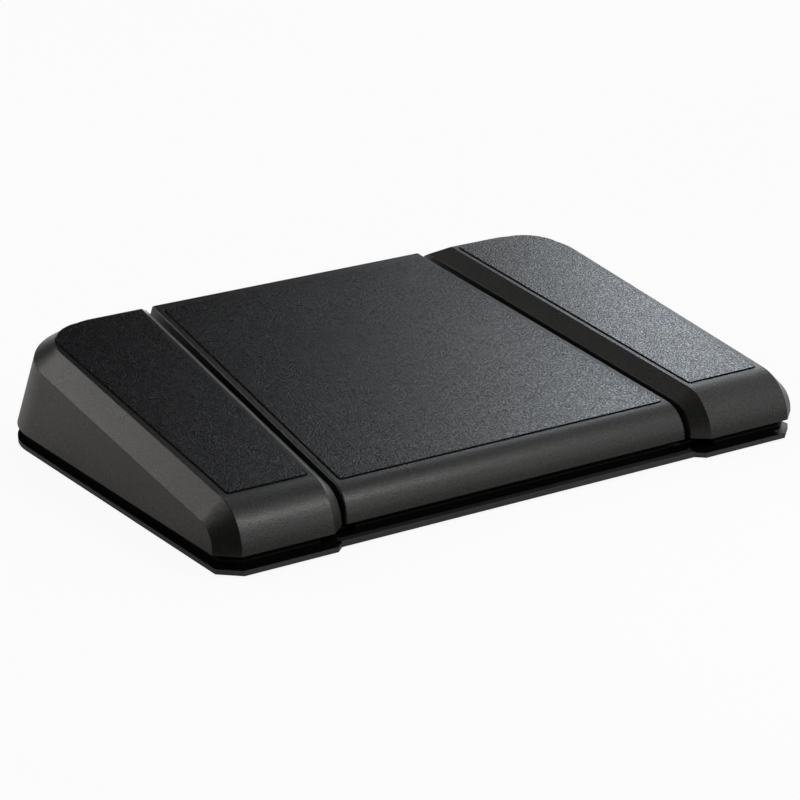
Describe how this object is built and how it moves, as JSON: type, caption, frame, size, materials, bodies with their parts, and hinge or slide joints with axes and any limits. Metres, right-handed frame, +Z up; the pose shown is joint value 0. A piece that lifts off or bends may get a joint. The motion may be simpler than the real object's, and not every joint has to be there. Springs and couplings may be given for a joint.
{
  "type": "usb foot pedal switch",
  "caption": "Foot switch for a computer: a low weighted tray carries wide sprung pedals side by side, with grained tread pads and a USB-C socket at the back",
  "frame": {"origin": "on the floor under the middle of the whole pedal", "axes": "+X to the user's right, +Y away from the user to the back, +Z up"},
  "size_m": [0.244, 0.188, 0.0465],
  "materials": {
    "pedal_plastic": "satin charcoal, fine moulded grain",
    "pad_rubber": "leather-like grain, nearly black",
    "tray_plastic": "black, smooth moulded",
    "plate_steel": "zinc plated",
    "foot_rubber": "matt black",
    "stop_rubber": "matt black",
    "screw_steel": "zinc plated",
    "clip_steel": "blackened spring steel",
    "bracket_steel": "zinc plated sheet",
    "pin_steel": "ground",
    "board_laminate": "green solder mask",
    "chip_plastic": "moulded package",
    "component_ceramic": "ceramic and tin",
    "socket_steel": "drawn steel",
    "tongue_plastic": "moulded",
    "spring_steel": "drawn wire",
    "switch_plastic": "moulded",
    "lever_steel": "stamped",
    "plunger_plastic": "moulded, red"
  },
  "bodies": {
    "base": {"base_tray": "tray_plastic", "ballast_plate": "plate_steel", "rubber_feet": "foot_rubber", "plate_screws": "screw_steel", "bracket_screws": "screw_steel", "board_screws": "screw_steel", "hinge_pin_clips": "clip_steel", "left_hinge_bracket": "bracket_steel", "right_hinge_bracket": "bracket_steel", "center_hinge_bracket_left": "bracket_steel", "center_hinge_bracket_right": "bracket_steel", "left_hinge_pin": "pin_steel", "center_hinge_pin": "pin_steel", "right_hinge_pin": "pin_steel", "main_circuit_board": "board_laminate", "controller_chip": "chip_plastic", "board_components": "component_ceramic", "usb_socket_shell": "socket_steel", "usb_socket_tongue": "tongue_plastic", "left_bump_stop": "stop_rubber", "center_bump_stops": "stop_rubber", "right_bump_stop": "stop_rubber", "left_return_spring": "spring_steel", "left_switch_case": "switch_plastic", "center_return_spring": "spring_steel", "center_switch_case": "switch_plastic", "right_return_spring": "spring_steel", "right_switch_case": "switch_plastic"},
    "left_pedal_body": {"left_pedal": "pedal_plastic", "left_tread_pad": "pad_rubber"},
    "left_lever_body": {"left_switch_lever": "lever_steel"},
    "left_plunger_body": {"left_switch_plunger": "plunger_plastic"},
    "center_pedal_body": {"center_pedal": "pedal_plastic", "center_tread_pad": "pad_rubber"},
    "center_lever_body": {"center_switch_lever": "lever_steel"},
    "center_plunger_body": {"center_switch_plunger": "plunger_plastic"},
    "right_pedal_body": {"right_pedal": "pedal_plastic", "right_tread_pad": "pad_rubber"},
    "right_lever_body": {"right_switch_lever": "lever_steel"},
    "right_plunger_body": {"right_switch_plunger": "plunger_plastic"}
  },
  "joints": [
    {"name": "left_pedal_hinge", "type": "hinge", "parent": "base", "child": "left_pedal_body", "pos_m": [-0.09, 0.075, 0.014], "axis": [1, 0, 0], "range_deg": [0, 1.3], "stiffness_Nm_per_rad": 33, "springref_deg": -1.15, "deforming": ["left_return_spring"]},
    {"name": "left_lever_hinge", "type": "hinge", "parent": "base", "child": "left_lever_body", "pos_m": [-0.096, 0.0455, 0.0175], "axis": [1, 0, 0], "range_deg": [0, 4.6]},
    {"name": "left_plunger_slide", "type": "slide", "parent": "base", "child": "left_plunger_body", "axis": [0, 0, -1], "range_m": [0, 0.0004]},
    {"name": "center_pedal_hinge", "type": "hinge", "parent": "base", "child": "center_pedal_body", "pos_m": [0, 0.075, 0.014], "axis": [1, 0, 0], "range_deg": [0, 1.3], "stiffness_Nm_per_rad": 33, "springref_deg": -1.15, "deforming": ["center_return_spring"]},
    {"name": "center_lever_hinge", "type": "hinge", "parent": "base", "child": "center_lever_body", "pos_m": [0, 0.0455, 0.0175], "axis": [1, 0, 0], "range_deg": [0, 4.6]},
    {"name": "center_plunger_slide", "type": "slide", "parent": "base", "child": "center_plunger_body", "axis": [0, 0, -1], "range_m": [0, 0.0004]},
    {"name": "right_pedal_hinge", "type": "hinge", "parent": "base", "child": "right_pedal_body", "pos_m": [0.09, 0.075, 0.014], "axis": [1, 0, 0], "range_deg": [0, 1.3], "stiffness_Nm_per_rad": 33, "springref_deg": -1.15, "deforming": ["right_return_spring"]},
    {"name": "right_lever_hinge", "type": "hinge", "parent": "base", "child": "right_lever_body", "pos_m": [0.096, 0.0455, 0.0175], "axis": [1, 0, 0], "range_deg": [0, 4.6]},
    {"name": "right_plunger_slide", "type": "slide", "parent": "base", "child": "right_plunger_body", "axis": [0, 0, -1], "range_m": [0, 0.0004]}
  ],
  "couplings": [
    {"joint": "left_lever_hinge", "follows": "left_pedal_hinge", "ratio": 3.4583},
    {"joint": "left_plunger_slide", "follows": "left_pedal_hinge", "m_per_rad": 0.017292},
    {"joint": "center_lever_hinge", "follows": "center_pedal_hinge", "ratio": 3.4583},
    {"joint": "center_plunger_slide", "follows": "center_pedal_hinge", "m_per_rad": 0.017292},
    {"joint": "right_lever_hinge", "follows": "right_pedal_hinge", "ratio": 3.4583},
    {"joint": "right_plunger_slide", "follows": "right_pedal_hinge", "m_per_rad": 0.017292}
  ]
}
